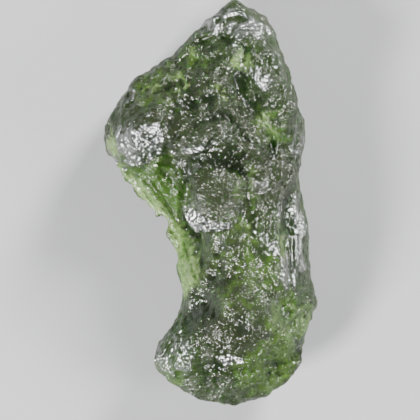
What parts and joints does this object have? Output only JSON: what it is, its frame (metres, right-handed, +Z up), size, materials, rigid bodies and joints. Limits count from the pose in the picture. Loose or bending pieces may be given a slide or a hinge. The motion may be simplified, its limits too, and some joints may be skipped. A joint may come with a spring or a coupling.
{
  "type": "moldavite",
  "caption": "Long irregular lump of etched bottle-green natural glass: broad shoulder, thin waist edge and blunt foot, lying on its back.",
  "frame": {"origin": "on the surface the stone lies on, below the middle of its box", "axes": "+Y from the blunt foot to the narrow peak, +Z up out of the show side, +X to the right of that side"},
  "size_m": [0.016, 0.03, 0.0094],
  "materials": {
    "moldavite_glass": "translucent bottle-green natural glass, finely pitted and sparkling"
  },
  "bodies": {
    "root": {"moldavite": "moldavite_glass"}
  },
  "joints": []
}
